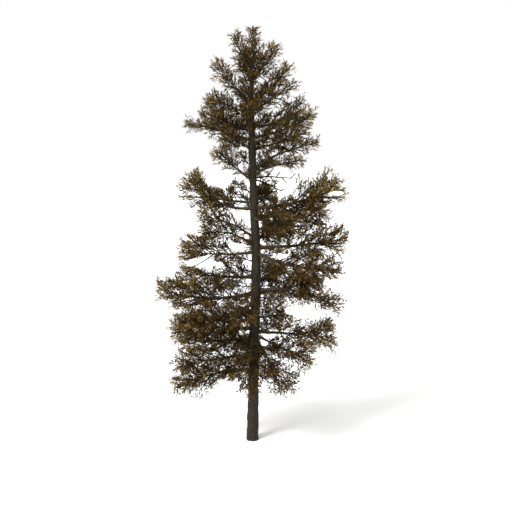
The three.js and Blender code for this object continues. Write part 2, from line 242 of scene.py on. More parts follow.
def bark_material(name, plate, crack, patch, fallen, cells):
    material = bpy.data.materials.new(name)
    shader = shader_of(material)
    tree = material.node_tree
    place = tree.nodes.new("ShaderNodeTexCoord").outputs["Object"]
    stretch = tree.nodes.new("ShaderNodeMapping")
    stretch.inputs["Scale"].default_value = PLATE_STRETCH
    tree.links.new(place, stretch.inputs["Vector"])
    upright = stretch.outputs["Vector"]

    scales = add_texture(tree, "ShaderNodeTexVoronoi", cells, upright)
    scales.feature = "DISTANCE_TO_EDGE"
    plates = scales.outputs["Distance"]
    fine = add_texture(tree, "ShaderNodeTexNoise", GRAIN_PER_CELL * cells, upright, Detail=6, Roughness=0.7)
    grain = fine.outputs["Fac"]
    slow = add_texture(tree, "ShaderNodeTexNoise", PATCH_SCALE, place, Detail=3)
    spots = add_texture(tree, "ShaderNodeTexNoise", SPOTS_PER_CELL * cells, upright, Detail=2)

    patched = add_blend(tree, add_ramp(tree, slow.outputs["Fac"], PATCH_EDGES), plate, patch)
    worn = add_blend(tree, add_ramp(tree, spots.outputs["Fac"], FALLEN_EDGES), patched, fallen)
    grained = add_blend(tree, add_ramp(tree, grain, GRAIN_EDGES), worn, crack)
    cracked = add_blend(tree, add_ramp(tree, plates, CRACK_EDGES), crack, grained)
    tree.links.new(cracked, shader.inputs["Base Color"])
    tree.links.new(add_ramp(tree, grain, ROUGHNESS_EDGES), shader.inputs["Roughness"])
    tree.links.new(add_bark_bump(tree, plates, grain), shader.inputs["Normal"])
    shader.inputs["Specular IOR Level"].default_value = BARK_SHEEN
    return material


TRUNK_BARK = bark_material(
    "trunk_bark",
    plate=(0.037, 0.027, 0.015, 1),
    crack=(0.012, 0.009, 0.005, 1),
    patch=(0.037, 0.029, 0.014, 1),
    fallen=(0.047, 0.029, 0.016, 1),
    cells=13,
)
LIMB_BARK = bark_material(
    "limb_bark",
    plate=(0.078, 0.061, 0.035, 1),
    crack=(0.025, 0.018, 0.009, 1),
    patch=(0.060, 0.050, 0.026, 1),
    fallen=(0.066, 0.043, 0.022, 1),
    cells=30,
)
TWIG_BARK = bark_material(
    "twig_bark",
    plate=(0.022, 0.014, 0.007, 1),
    crack=(0.010, 0.006, 0.003, 1),
    patch=(0.019, 0.012, 0.005, 1),
    fallen=(0.027, 0.015, 0.006, 1),
    cells=60,
)
print("bark materials:", TRUNK_BARK.name, LIMB_BARK.name, TWIG_BARK.name)

# %% [markdown]
# ## Autumn tints
# The needles of one spray turn together, and neighbouring sprays are a little ahead or behind. So each tint
# is one plain colour, and whole sprays are dealt a tint each. A pattern painted over the crown would slide
# across the needles and mix within a spray. The tints go from dark to light: sprays inside the crown are
# dealt dark ones as painted shade, and those at the tips light ones as painted light.

# %% Needle tints
NEEDLE_ROUGHNESS = 0.85
NEEDLE_SHEEN = 0.06
TINTS = {
    "umber": (0.051, 0.032, 0.011),
    "bronze": (0.082, 0.050, 0.014),
    "russet": (0.119, 0.068, 0.017),
    "olive": (0.140, 0.096, 0.023),
    "ochre": (0.195, 0.130, 0.040),
    "gold": (0.265, 0.184, 0.066),
}


def needle_material(name, colour):
    material = bpy.data.materials.new("needles_" + name)
    shader = shader_of(material)
    shader.inputs["Base Color"].default_value = (*colour, 1)
    shader.inputs["Roughness"].default_value = NEEDLE_ROUGHNESS
    shader.inputs["Specular IOR Level"].default_value = NEEDLE_SHEEN
    return material


NEEDLE_LOOKS = [needle_material(name, colour) for name, colour in TINTS.items()]
print("needle tints:", ", ".join(TINTS))

# %% [markdown]
# ## The trunk's line
# A larch trunk is nearly straight but never ruled: it sways a hand's breadth to either side. These values
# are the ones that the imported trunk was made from, so the bark lies where the solid is.

# %% Trunk line
TREE_HEIGHT = 16.0
TRUNK_TOP = 15.15
TRUNK_RADIUS = 0.212
TRUNK_TAPER = 0.45
TIP_RADIUS = 0.022
TIP_TAPER = 0.031
FLARE = 0.03
FLARE_HEIGHT = 0.35
SWAY_HEIGHTS = [0, 1.6, 3.6, 6.2, 7.7, 9.4, 12.2, 14.0, TRUNK_TOP]
SWAY_OFFSETS = [0.005, 0.015, 0.035, 0.13, 0.14, 0.05, -0.02, -0.03, 0.025]


def smooth_step(share):
    return share * share * (3 - 2 * share)


def trunk_centre(height):
    turn = int(np.clip(np.searchsorted(SWAY_HEIGHTS, height), 1, len(SWAY_HEIGHTS) - 1))
    low, high = SWAY_HEIGHTS[turn - 1 : turn + 1]
    start, end = SWAY_OFFSETS[turn - 1 : turn + 1]
    share = min(max((height - low) / (high - low), 0), 1)
    return np.array([start + (end - start) * smooth_step(share), 0, height])


def trunk_radius(height):
    taper = TRUNK_RADIUS * (1 - height / TREE_HEIGHT) ** TRUNK_TAPER
    tip = TIP_RADIUS + TIP_TAPER * (TRUNK_TOP - height)
    return min(taper, tip) + FLARE * math.exp(-height / FLARE_HEIGHT)


print("trunk radius at the ground and at 8 m:", round(trunk_radius(0), 3), round(trunk_radius(8), 3))

# %% [markdown]
# ## The trunk's relief
# A displacement modifier could push a plain tube about, but here the relief is worked out point by point:
# slow noise makes the knobs that show along the foot's outline, and stretched cells make plates that stand
# a few millimetres proud of the cracks.

# %% Trunk relief
KNOB_DEPTH = 0.05
KNOB_RISE = 0.25
KNOB_SHARE = 0.4
LUMP_SHARE = 0.7
PLATE_DEPTH = 0.011
PLATE_SLOPE = 0.35
PLATE_MIDDLE = 0.6
GRAIN_DEPTH = 0.004
KNOB_SCALE = (2.4, 2.4, 0.75)
KNOB_SHIFT = Vector((7, 3, 1))
LUMP_SCALE = (6, 6, 2.6)
PLATE_SCALE = (16, 16, 6)
GRAIN_SCALE = (60, 60, 25)


def scaled(place, scale):
    return Vector([size * value for size, value in zip(scale, place)])


def bark_relief(place):
    knob = noise.noise(scaled(place, KNOB_SCALE) + KNOB_SHIFT)
    lump = noise.noise(scaled(place, LUMP_SCALE))
    near, second = noise.voronoi(scaled(place, PLATE_SCALE))[0][:2]
    plate = smooth_step(min(1, (second - near) / PLATE_SLOPE)) - PLATE_MIDDLE
    grain = noise.noise(scaled(place, GRAIN_SCALE))
    knobs = KNOB_DEPTH * (KNOB_RISE + KNOB_SHARE * knob + LUMP_SHARE * lump)
    return knobs + PLATE_DEPTH * plate + GRAIN_DEPTH * grain


print("relief on the bare foot:", round(bark_relief((trunk_radius(1), 0, 1)), 4), "m")

# %% [markdown]
# ## The trunk
# The trunk is a stack of rings round its line, each pushed out by the relief. Five shallow flutes widen the
# foot and fade above the flare. Rings lie closer together on the bare foot, where the bark is seen best.
# The same list of triangles closes any tube of rings, so the limbs and twigs below use it again.

# %% Trunk
TRUNK_SIDES = 72
FOOT_STEP = 0.022
TOP_STEP = 0.07
STEP_GROWTH = 2.5
FULL_RELIEF_RADIUS = 0.14
FLUTES = 5
FLUTE_DEPTH = 0.06


def ring_heights():
    heights = [0.0]
    while heights[-1] < TRUNK_TOP:
        share = heights[-1] / TRUNK_TOP
        heights.append(heights[-1] + FOOT_STEP + (TOP_STEP - FOOT_STEP) * min(1, STEP_GROWTH * share))
    heights[-1] = TRUNK_TOP
    return heights


def trunk_rings(heights):
    rings = []
    for height in heights:
        centre = trunk_centre(height)
        plain = trunk_radius(height)
        flute = FLUTE_DEPTH * math.exp(-height / FLARE_HEIGHT)
        depth = min(1, plain / FULL_RELIEF_RADIUS)
        for i in range(TRUNK_SIDES):
            angle = 2 * math.pi * i / TRUNK_SIDES
            place = (plain * math.cos(angle), plain * math.sin(angle), height)
            radius = plain * (1 + flute * math.cos(FLUTES * angle)) + depth * bark_relief(place)
            rings.append(centre + radius * np.array([math.cos(angle), math.sin(angle), 0]))
    return np.array(rings)


def tube_triangles(ring_count, sides):
    ring, side = np.meshgrid(np.arange(ring_count - 1), np.arange(sides), indexing="ij")
    a = (ring * sides + side).ravel()
    b = (ring * sides + (side + 1) % sides).ravel()
    walls = np.concatenate([np.stack([a, b, b + sides], 1), np.stack([a, b + sides, a + sides], 1)])
    fan = np.arange(1, sides - 1)
    first = np.stack([np.zeros_like(fan), fan + 1, fan], 1)
    last = (ring_count - 1) * sides + np.stack([np.zeros_like(fan), fan, fan + 1], 1)
    return np.concatenate([walls, first, last])


heights = ring_heights()
trunk = mesh_object(
    "trunk_bark",
    trunk_rings(heights),
    tube_triangles(len(heights), TRUNK_SIDES),
    [TRUNK_BARK],
    smooth=True,
)
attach(trunk, "root")
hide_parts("trunk")

# %% [markdown]
# ## The limbs' sizes
# Each limb is one row: foot height on the trunk, bearing (0 is right, 90 away from the viewer), reach to
# the last needle, climb in degrees at foot and tip, the bare share of its length, the spread of its needles
# to each side, and where along it they are fullest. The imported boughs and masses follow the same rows.

# %% Limb table
LIMBS = {
    "left_1": (2.9, 188, 3.2, (0, -20), 0.12, 0.92, 0.5),
    "left_2": (3.5, 200, 3.15, (0, -4), 0.1, 0.9, 0.5),
    "left_3": (4.1, 150, 3.4, (-10, -6), 0.1, 0.95, 0.5),
    "left_4": (4.55, 178, 3.2, (4, -6), 0.1, 0.98, 0.5),
    "left_5": (5.3, 206, 3.2, (-8, 2), 0.1, 0.92, 0.5),
    "left_6": (6.0, 184, 3.92, (-16, 24), 0.18, 1.08, 0.5),
    "left_7": (6.62, 152, 3.4, (-6, 2), 0.1, 0.98, 0.5),
    "left_8": (7.6, 188, 2.78, (-8, 12), 0.2, 1.04, 0.45),
    "left_9": (7.72, 174, 2.2, (46, -14), 0.36, 0.8, 0.4),
    "left_10": (8.05, 200, 2.4, (44, 4), 0.4, 0.62, 0.45),
    "left_11": (9.29, 180, 2.84, (-7, 58), 0.26, 0.98, 0.5),
    "left_12": (10.33, 192, 1.75, (30, 52), 0.3, 0.62, 0.5),
    "left_13": (11.6, 224, 1.55, (14, 10), 0.1, 0.56, 0.4),
    "left_14": (11.85, 176, 2.6, (20, 8), 0.14, 0.5, 0.35),
    "left_15": (12.4, 155, 2.3, (-6, 62), 0.1, 0.68, 0.45),
    "left_16": (12.75, 205, 1.75, (24, 18), 0.1, 0.6, 0.4),
    "left_17": (13.25, 192, 2.0, (38, 58), 0.1, 0.54, 0.4),
    "left_18": (14.15, 162, 1.72, (60, 78), 0.1, 0.5, 0.4),
    "right_1": (4.1, 302, 2.78, (-22, -38), 0.1, 0.95, 0.45),
    "right_2": (4.3, 332, 2.55, (-14, -22), 0.22, 0.82, 0.45),
    "right_3": (4.42, 4, 3.1, (-3, -7), 0.26, 1.02, 0.55),
    "right_4": (5.0, 58, 2.9, (-10, -6), 0.1, 0.8, 0.45),
    "right_5": (5.95, 36, 3.4, (0, 6), 0.1, 0.95, 0.5),
    "right_6": (6.05, 352, 3.35, (12, -32), 0.24, 0.9, 0.45),
    "right_7": (7.58, 330, 3.5, (-22, 8), 0.18, 1.04, 0.45),
    "right_8": (7.76, 8, 3.68, (0, 10), 0.26, 1.02, 0.55),
    "right_9": (9.0, 26, 3.3, (-6, 4), 0.1, 0.98, 0.5),
    "right_10": (9.29, 356, 3.44, (3, 25), 0.12, 1.1, 0.5),
    "right_11": (10.56, 350, 2.0, (28, 4), 0.3, 0.42, 0.5),
    "right_12": (10.75, 4, 2.75, (36, 8), 0.36, 0.42, 0.3),
    "right_13": (11.5, 32, 2.55, (12, 18), 0.1, 0.68, 0.4),
    "right_14": (11.95, 336, 2.62, (8, 28), 0.1, 0.72, 0.45),
    "right_15": (12.4, 20, 2.4, (-4, 56), 0.1, 0.64, 0.45),
    "right_16": (12.95, 326, 2.0, (22, 34), 0.1, 0.6, 0.4),
    "right_17": (13.2, 350, 1.95, (38, 48), 0.1, 0.58, 0.4),
    "right_18": (14.05, 18, 1.62, (44, 66), 0.1, 0.54, 0.4),
    "back_1": (3.6, 92, 3.1, (-6, -10), 0.1, 0.9, 0.45),
    "back_2": (6.35, 70, 3.2, (0, 8), 0.1, 0.9, 0.45),
    "back_3": (8.15, 62, 3.1, (-4, 4), 0.1, 0.9, 0.45),
    "back_4": (9.5, 138, 2.7, (0, 8), 0.1, 0.85, 0.4),
    "back_5": (9.6, 76, 2.6, (-2, 6), 0.1, 0.78, 0.4),
    "back_6": (10.75, 66, 2.1, (-2, 6), 0.1, 0.7, 0.4),
    "back_7": (12.2, 165, 2.15, (14, 20), 0.1, 0.5, 0.4),
    "back_8": (12.6, 92, 2.05, (32, 48), 0.1, 0.66, 0.4),
    "back_9": (13.85, 95, 1.6, (46, 62), 0.1, 0.56, 0.4),
    "front_1": (4.1, 262, 2.5, (-16, -36), 0.1, 0.95, 0.5),
    "front_2": (5.9, 256, 2.6, (-10, -12), 0.12, 0.9, 0.45),
    "front_3": (8.9, 300, 2.6, (-4, 4), 0.14, 0.76, 0.5),
    "front_4": (12.0, 266, 1.9, (24, 40), 0.1, 0.62, 0.4),
    "front_5": (14.2, 278, 1.4, (42, 74), 0.1, 0.5, 0.4),
    "top": (TRUNK_TOP, 0, 0.85, (90, 88), 0, 0.36, 0.3),
}
SIZE_NAMES = ("height", "bearing", "reach", "climb", "bare", "spread", "full")


def limb_of(name, row):
    return {"name": name, **dict(zip(SIZE_NAMES, row))}


print(len(LIMBS), "limbs, the longest", max(row[2] for row in LIMBS.values()), "m")

# %% [markdown]
# ## How a limb runs
# A limb leaves the trunk's middle at its bearing and turns from one climb to the other as it goes. Growing
# things also need chance that comes out the same on every run, so each limb throws its own seeded dice, and
# the noise that makes it a little crooked is seeded too.

# %% Limb curves
CURVE_STEPS = 24
CROOK = 0.035
CROOK_SCALE = 1.7
CROOK_SEED = 2
DICE_FACTOR = 1664525
DICE_ADD = 1013904223
DICE_RANGE = 2**32
DICE_WARM_UP = 3
NEAR_UPRIGHT = 1e-3
UP = np.array([0.0, 0.0, 1.0])
noise.seed_set(CROOK_SEED)


class Dice:
    def __init__(self, seed):
        self.state = seed
        for _ in range(DICE_WARM_UP):
            self.throw()

    def throw(self, low=0.0, high=1.0):
        self.state = (self.state * DICE_FACTOR + DICE_ADD) % DICE_RANGE
        return low + (high - low) * self.state / DICE_RANGE


def limb_heading(limb, share):
    start, end = limb["climb"]
    climb = math.radians(start + (end - start) * share)
    bearing = math.radians(limb["bearing"])
    level = math.cos(climb)
    return np.array([level * math.cos(bearing), level * math.sin(bearing), math.sin(climb)])


def limb_curve(limb):
    points = [trunk_centre(limb["height"])]
    for i in range(CURVE_STEPS):
        heading = limb_heading(limb, (i + 0.5) / CURVE_STEPS)
        points.append(points[-1] + heading * limb["reach"] / CURVE_STEPS)
    for i, point in enumerate(points):
        bend = noise.noise_vector(Vector(point) * CROOK_SCALE)
        points[i] = point + CROOK * math.sin(math.pi * i / CURVE_STEPS) * np.array(bend)
    return np.array(points)


def point_along(points, share):
    place = min(max(share, 0), 1) * (len(points) - 1)
    i = min(int(place), len(points) - 2)
    return points[i] + (points[i + 1] - points[i]) * (place - i)


def heading_along(points, share):
    i = min(int(min(max(share, 0), 1) * (len(points) - 1)), len(points) - 2)
    step = points[i + 1] - points[i]
    return step / np.linalg.norm(step)


def side_frame(heading):
    side = np.cross(UP, heading)
    length = np.linalg.norm(side)
    side = np.array([1.0, 0.0, 0.0]) if length < NEAR_UPRIGHT else side / length
    return side, np.cross(heading, side)


def lean_from(heading, lean, roll):
    side, rise = side_frame(heading)
    across = side * math.cos(roll) + rise * math.sin(roll)
    return heading * math.cos(lean) + across * math.sin(lean)


print("tip of left_6:", np.round(limb_curve(limb_of("left_6", LIMBS["left_6"]))[-1], 2))

# %% [markdown]
# ## Sky in the crown
# The crown is open in places: between two layers of boughs, or under an arm that rises. One could prune by
# hand, but a simple rule is easier to change: each gap is an oval on the plane through the trunk, as it is
# seen from the camera's place, and no twig or shoot may end in it. Noise makes the ovals' edges ragged, as
# real gaps are. Each row holds the oval's middle to the right and up, and its half width and half height.

# %% Sky gaps
SKY_GAPS = {
    "above_left_arm": (-1.23, 10.44, 0.54, 0.34),
    "left_of_trunk_high": (-0.52, 10.86, 0.2, 0.15),
    "left_armpit": (-0.52, 9.54, 0.26, 0.15),
    "left_of_trunk_middle": (-0.36, 9.05, 0.12, 0.10),
    "between_bare_limbs": (-0.63, 7.78, 0.35, 0.19),
    "left_layer": (-1.92, 7.16, 0.78, 0.17),
    "right_bay": (1.36, 10.13, 0.44, 0.42),
    "right_arm_fork": (3.15, 9.87, 0.3, 0.12),
    "right_layer": (1.05, 7.43, 0.3, 0.14),
    "right_low_layer": (2.05, 5.19, 0.76, 0.20),
    "right_foot_fan": (0.44, 3.98, 0.16, 0.20),
    "right_edge_notch": (3.02, 6.37, 0.28, 0.18),
    "right_dead_twigs": (0.74, 10.45, 0.40, 0.11),
    "right_bay_high": (0.86, 10.78, 0.36, 0.10),
}
GAP_EDGE = 0.85
GAP_RAGGEDNESS = 0.8
GAP_GRAIN = 4.5
GAP_SLICE = 0.5


def before_sky(point):
    nearer = CAMERA_PLACE[1] / (CAMERA_PLACE[1] - point[1])
    x = CAMERA_PLACE[0] + (point[0] - CAMERA_PLACE[0]) * nearer
    z = CAMERA_PLACE[2] + (point[2] - CAMERA_PLACE[2]) * nearer
    edge = GAP_EDGE + GAP_RAGGEDNESS * noise.noise(Vector((GAP_GRAIN * x, GAP_SLICE, GAP_GRAIN * z)))
    return any(
        ((x - middle) / wide) ** 2 + ((z - level) / high) ** 2 < edge
        for middle, level, wide, high in SKY_GAPS.values()
    )


print(len(SKY_GAPS), "gaps in the crown")

# %% [markdown]
# ## The space of a limb's needles
# The needles of a limb spread widest near its middle and draw in towards both ends, so a limb ends in a
# plume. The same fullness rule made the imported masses. Nothing may end before a sky gap, or further outside
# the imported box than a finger's width.

# %% Fullness and edges
FOOT_FULLNESS = 0.62
TIP_FULLNESS = 0.3
FULLNESS_TAPER = 0.9
SHOOT_OVERHANG = 0.02
EDGE_LOW = np.array(CAD_LOW) - SHOOT_OVERHANG
EDGE_HIGH = np.array(CAD_HIGH) + SHOOT_OVERHANG


def fullness(share, full):
    if share < full:
        return FOOT_FULLNESS + (1 - FOOT_FULLNESS) * share / full
    return TIP_FULLNESS + (1 - TIP_FULLNESS) * (1 - (share - full) / (1 - full)) ** FULLNESS_TAPER


def in_crown(point):
    return np.all(point > EDGE_LOW) and np.all(point < EDGE_HIGH) and not before_sky(point)


print("fullness at foot, middle and tip:", [round(fullness(share, 0.5), 2) for share in (0, 0.5, 1)])

# %% [markdown]
# ## What one limb carries
# The finest parts are short shoots that are set all round with needles. They stand to either side of a
# twig, roughly in one plane, like barbs on a feather, and one more ends it. A twig's tint is dealt by how
# far out it stands, darker inside the crown as painted shade and lighter at the tips as painted light, and
# limbs that point at the viewer get darker tints as painted shade. Each shoot of a twig is a tint lighter or
# darker at random. One class gathers the wood and shoots of a limb, and leaves out what doesn't fit.

# %% Crown
SHOOT_LENGTH = 0.11
SHOOT_GAP = 0.06
SHOOT_LEANS = (26, 56)
SHOOT_SIZES = (0.75, 1.15)
LAST_SHOOT_SIZES = (0.9, 1.2)
ROLL_SCATTER = 0.7
TINT_SCATTER = 0.36
SHADE_SCATTER = 1.4
# painted shade: limbs that point at the viewer are dealt darker needle tints
FRONT_PAINTED_SHADE = 0.35


class Crown:
    """Everything that grows on one limb: its wood as paths with radii, and its needle shoots."""

    def __init__(self, limb, seed):
        self.dice = Dice(seed)
        self.wood = []
        self.shoots = []
        # painted shade: the more a limb points at the viewer, the darker its tints
        self.front_painted_shade = -FRONT_PAINTED_SHADE * max(0, -math.sin(math.radians(limb["bearing"])))

    def degrees(self, ends):
        return math.radians(self.dice.throw(*ends))

    def scatter(self, most):
        return self.dice.throw(-most, most)

    def add_wood(self, path, foot, tip):
        fits = in_crown(path[-1])
        if fits:
            self.wood.append((path, foot, tip))
        return fits

    def add_shoot(self, foot, heading, length, tint):
        if in_crown(foot + heading * length):
            self.shoots.append((foot, heading, length, tint))

    def add_shoots(self, path, tint, start):
        dice = self.dice
        length = np.linalg.norm(np.diff(path, axis=0), axis=1).sum()
        count = max(1, int(length * (1 - start) / SHOOT_GAP))
        plane = dice.throw(0, math.pi)
        for j in range(count):
            share = start + (1 - start) * (j + 0.5) / count
            roll = plane + math.pi * (j % 2) + self.scatter(ROLL_SCATTER)
            heading = lean_from(heading_along(path, share), self.degrees(SHOOT_LEANS), roll)
            shade = int(np.clip(tint + self.scatter(SHADE_SCATTER), 0, len(TINTS) - 1))
            self.add_shoot(point_along(path, share), heading, SHOOT_LENGTH * dice.throw(*SHOOT_SIZES), shade)
        self.add_shoot(path[-1], heading_along(path, 1), SHOOT_LENGTH * dice.throw(*LAST_SHOOT_SIZES), tint)

    # painted light and shade: the outward share lightens the tint, the front shade darkens it, and a random
    # scatter varies it
    def deal_tint(self, outward):
        lightness = outward + self.front_painted_shade + self.scatter(TINT_SCATTER)
        return int(np.clip(lightness * len(TINTS), 0, len(TINTS) - 1))


print("a shoot is", SHOOT_LENGTH, "m long, and one stands every", SHOOT_GAP, "m")

# %% [markdown]
# ## How a twig grows
# The source sets large sprays straight on each stem. The real crown goes two steps finer: twigs leave the
# stem by the golden turn, and twiglets leave the twigs to either side. All of them lean forward, and a twig
# bends on towards the limb's tip and a little up to the light.

# %% Twig rule
GOLDEN_TURN = 2.39996
TURN_SCATTER = 0.4
TWIG_REACHES = (0.74, 1.36)
TWIG_PAST_TIP = 1.2
TWIG_LEAST = 0.05
TWIG_LEANS = (32, 54)
TWIG_STEPS = 4
TWIG_FOOT = 0.013
TWIG_FOOT_GROWTH = 0.016
TWIG_TIP = 0.010
TWIG_BARE = 0.6
FOOT_LEAN = 24
FOOT_SHARE = 0.25
FORWARD_PULL = 0.3
LIFTS = (-0.1, 0.4)
TWIGLET_GAP = 0.076
LEAST_TWIGLETS = 2
TWIGLET_FIRST = 0.26
TWIGLET_STRETCH = 0.7
TWIGLET_JITTER = (0.2, 0.8)
TWIGLET_LEANS = (30, 50)
TWIGLET_LEAST = 0.15
TWIGLET_SHARE = 0.22
TWIGLET_FULL = 1.05
TWIGLET_TAPER = 0.5
TWIGLET_SIZES = (0.7, 1.3)
TWIGLET_STEPS = 2
TWIGLET_FOOT = 0.011
TWIGLET_TIP = 0.009
TWIGLET_BARE = 0.2
TIP_THINNING = 0.6
# painted light and shade: tints lighten towards a limb's tip and a twig's tip, and twiglets are a little
# darker
PAINTED_LIGHT_ALONG_LIMB = 0.5
PAINTED_LIGHT_ALONG_TWIG = 0.45
TWIGLET_PAINTED_SHADE = 0.08
TWIG_TINT = 0.3


def bent_path(foot, heading, length, pull, steps):
    points = [foot]
    for _ in range(steps):
        heading = heading + pull / steps
        heading = heading / np.linalg.norm(heading)
        points.append(points[-1] + heading * length / steps)
    return np.array(points)


def twig_path(crown, limb, curve, along, share, k):
    dice = crown.dice
    reach = limb["spread"] * fullness(share, limb["full"]) * dice.throw(*TWIG_REACHES) - SHOOT_LENGTH
    reach = min(reach, (1 - along) * limb["reach"] * TWIG_PAST_TIP + TWIG_LEAST)
    onward = limb_heading(limb, along)
    lean = crown.degrees(TWIG_LEANS) + math.radians(FOOT_LEAN) * max(0, FOOT_SHARE - share) / FOOT_SHARE
    heading = lean_from(onward, lean, GOLDEN_TURN * k + crown.scatter(TURN_SCATTER))
    pull = FORWARD_PULL * onward + dice.throw(*LIFTS) * UP
    return bent_path(point_along(curve, along), heading, reach, pull, TWIG_STEPS), reach


def grow_twig(crown, limb, curve, along, share, k):
    dice = crown.dice
    twig, reach = twig_path(crown, limb, curve, along, share, k)
    if not crown.add_wood(twig, TWIG_FOOT + TWIG_FOOT_GROWTH * reach, TWIG_TIP):
        return
    longest = TWIGLET_LEAST + TWIGLET_SHARE * limb["spread"]
    count = max(LEAST_TWIGLETS, int(reach / (TWIGLET_GAP * (1 + TIP_THINNING * share))))
    plane = dice.throw(0, math.pi)
    for j in range(count):
        place = TWIGLET_FIRST + TWIGLET_STRETCH * (j + dice.throw(*TWIGLET_JITTER)) / count
        roll = plane + math.pi * (j % 2) + crown.scatter(ROLL_SCATTER)
        heading = lean_from(heading_along(twig, place), crown.degrees(TWIGLET_LEANS), roll)
        length = longest * (TWIGLET_FULL - TWIGLET_TAPER * place) * dice.throw(*TWIGLET_SIZES)
        lift = dice.throw(*LIFTS) * UP
        twiglet = bent_path(point_along(twig, place), heading, length, lift, TWIGLET_STEPS)
        if crown.add_wood(twiglet, TWIGLET_FOOT, TWIGLET_TIP):
            # painted light and shade: lighter further out along the limb and the twig
            outward = PAINTED_LIGHT_ALONG_LIMB * share + PAINTED_LIGHT_ALONG_TWIG * place - TWIGLET_PAINTED_SHADE
            crown.add_shoots(twiglet, crown.deal_tint(outward), TWIGLET_BARE)
    crown.add_shoots(twig, crown.deal_tint(TWIG_TINT + PAINTED_LIGHT_ALONG_LIMB * share), TWIG_BARE)


print("twigs carry a twiglet every", TWIGLET_GAP, "m at a limb's foot and fewer at its tip")

# %% [markdown]
# ## How a limb grows
# A limb first sends out its twigs, then short twiglets of its own that hide the stem, and last the shoots
# of its tip. Limbs that point at the viewer or away get fewer twigs, because theirs lie behind one another.

# %% Grow the limbs
TWIG_GAP = 0.07
END_ON_THINNING = 0.35
LEAST_TWIGS = 7
TWIG_FIRST = 0.03
TWIG_STRETCH = 0.9
TWIG_JITTER = (0.1, 0.9)
STEM_TWIGLETS = 0.5
STEM_TWIGLET_FIRST = 0.04
STEM_TWIGLET_STRETCH = 0.93
STEM_TWIGLET_LEANS = (42, 70)
STEM_TWIGLET_SIZES = (0.2, 0.4)
STEM_TWIGLET_FULL = 1.1
STEM_TWIGLET_TAPER = 0.5
STEM_TWIGLET_BARE = 0.25
STEM_POINTS = 17
STEM_TINT = 0.25
STEM_BARE = 0.6
FIRST_SEED = 1000
SEED_STEP = 37


def grow_stem_twiglet(crown, limb, curve, along, share):
    dice = crown.dice
    lean = crown.degrees(STEM_TWIGLET_LEANS)
    heading = lean_from(limb_heading(limb, along), lean, dice.throw(0, 2 * math.pi))
    length = dice.throw(*STEM_TWIGLET_SIZES) * (STEM_TWIGLET_FULL - STEM_TWIGLET_TAPER * share)
    lift = dice.throw(*LIFTS) * UP
    twiglet = bent_path(point_along(curve, along), heading, length, lift, TWIGLET_STEPS)
    if crown.add_wood(twiglet, TWIGLET_FOOT, TWIGLET_TIP):
        # painted light: stem twiglets get lighter tints towards the limb's tip
        crown.add_shoots(twiglet, crown.deal_tint(PAINTED_LIGHT_ALONG_LIMB * share), STEM_TWIGLET_BARE)


def grow_limb(limb, seed):
    crown = Crown(limb, seed)
    dice = crown.dice
    curve = limb_curve(limb)
    bare = limb["bare"]
    leafy = limb["reach"] * (1 - bare)
    gap = TWIG_GAP * (1 + END_ON_THINNING * abs(math.sin(math.radians(limb["bearing"]))))
    end = 1 - SHOOT_LENGTH / limb["reach"]
    count = max(LEAST_TWIGS, round(leafy / gap))
    for k in range(count):
        share = TWIG_FIRST + TWIG_STRETCH * (k + dice.throw(*TWIG_JITTER)) / count
        grow_twig(crown, limb, curve, bare + (1 - bare) * share, share, k)
    count = int(STEM_TWIGLETS * leafy / gap)
    for j in range(count):
        share = STEM_TWIGLET_FIRST + STEM_TWIGLET_STRETCH * (j + dice.throw(*TWIGLET_JITTER)) / count
        grow_stem_twiglet(crown, limb, curve, bare + (end - bare) * share, share)
    stem = np.array([point_along(curve, share) for share in np.linspace(bare, end, STEM_POINTS)])
    crown.add_shoots(stem, crown.deal_tint(STEM_TINT), STEM_BARE)
    return {"limb": limb, "crown": crown, "curve": curve, "end": end}


grown = {}
for i, (name, row) in enumerate(LIMBS.items()):
    grown[name] = grow_limb(limb_of(name, row), FIRST_SEED + SEED_STEP * i)
print("shoots:", sum(len(g["crown"].shoots) for g in grown.values()))
print("twigs:", sum(len(g["crown"].wood) for g in grown.values()))

# %% [markdown]
# ## Short inner limbs
# Between its boughs a larch carries many short, weak limbs that never reach the crown's outline. They fill
# the space next to the trunk. Their rows need no table: heights are even steps up the trunk, bearings
# follow the golden turn, and reach and climb change steadily from the foot to the top. At the middle
# heights the side towards the viewer stays open, because the trunk shows there.

# %% Inner limbs
INNER_COUNT = 60
INNER_HEIGHTS = (2.55, 14.5)
INNER_REACHES = (1.15, 0.75)
INNER_SPREADS = (0.42, 0.34)
INNER_CLIMBS = (-18, 48)
INNER_RISE = 10
INNER_BARE = 0.2
INNER_FULL = 0.5
OPEN_SECTOR = 100
OPEN_HEIGHTS = (5.0, 11.6)
VIEWER_BEARING = 270
INNER_SEED = 9000


def between(ends, share):
    return ends[0] + (ends[1] - ends[0]) * share


def inner_limb(k):
    share = k / (INNER_COUNT - 1)
    turn = (k * GOLDEN_TURN / (2 * math.pi)) % 1
    height = between(INNER_HEIGHTS, share)
    sector = OPEN_SECTOR if OPEN_HEIGHTS[0] < height < OPEN_HEIGHTS[1] else 0
    bearing = VIEWER_BEARING + sector / 2 + (360 - sector) * turn
    climb = between(INNER_CLIMBS, share)
    row = (
        height,
        bearing,
        between(INNER_REACHES, share),
        (climb, climb + INNER_RISE),
        INNER_BARE,
        between(INNER_SPREADS, share),
        INNER_FULL,
    )
    return limb_of(f"inner_{k + 1}", row)


for k in range(INNER_COUNT):
    limb = inner_limb(k)
    if before_sky(limb_curve(limb)[CURVE_STEPS // 2]):
        continue
    grown[limb["name"]] = grow_limb(limb, INNER_SEED + SEED_STEP * k)
print("shoots with the inner limbs:", sum(len(g["crown"].shoots) for g in grown.values()))

# %% [markdown]
# ## Limbs
# Every limb is one tapering tube from inside the trunk to its last shoot, with a collar where it leaves the
# trunk and a little knobbly relief along it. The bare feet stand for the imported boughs.

